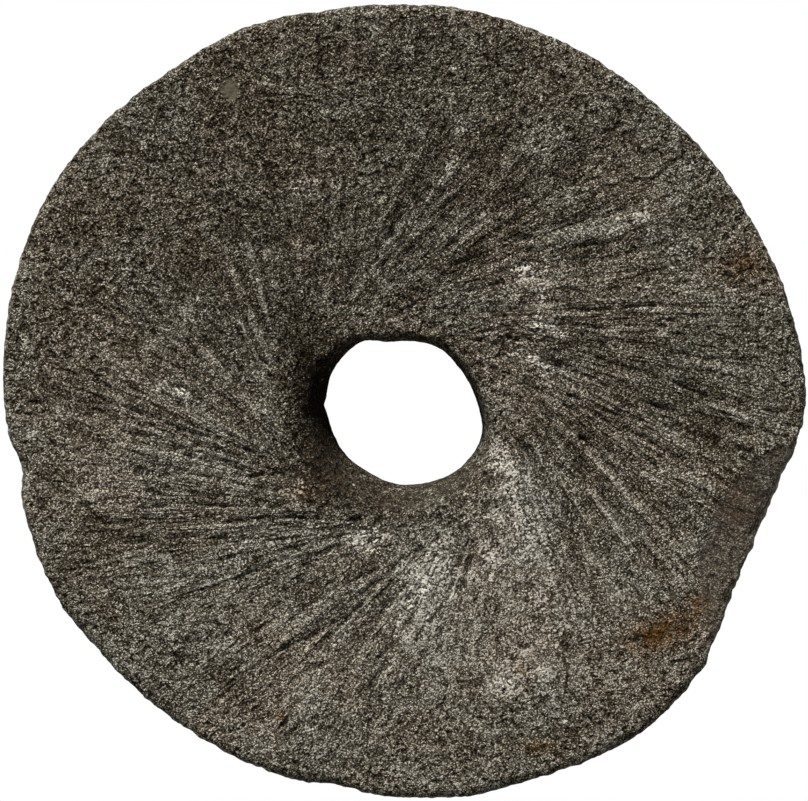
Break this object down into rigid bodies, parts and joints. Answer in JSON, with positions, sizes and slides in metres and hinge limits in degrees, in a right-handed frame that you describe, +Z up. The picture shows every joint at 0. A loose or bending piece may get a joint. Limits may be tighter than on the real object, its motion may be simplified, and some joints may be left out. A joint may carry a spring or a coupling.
{
  "type": "rotary quern stone",
  "caption": "Thick round stone of an ancient rotary quern with a flared central eye, a dished face dressed with swirling furrows, and a broken edge.",
  "frame": {"origin": "on the surface that the stone lies on, under the middle of its outline", "axes": "+Z up out of the grinding face, +X and +Y across the face as seen from above"},
  "size_m": [0.4024, 0.398, 0.064],
  "materials": {
    "coarse_stone": "rough, coarse-grained dark brown-grey stone with pale specks, light deposits and rust stains"
  },
  "bodies": {
    "root": {"quern_stone": "coarse_stone"}
  },
  "joints": []
}
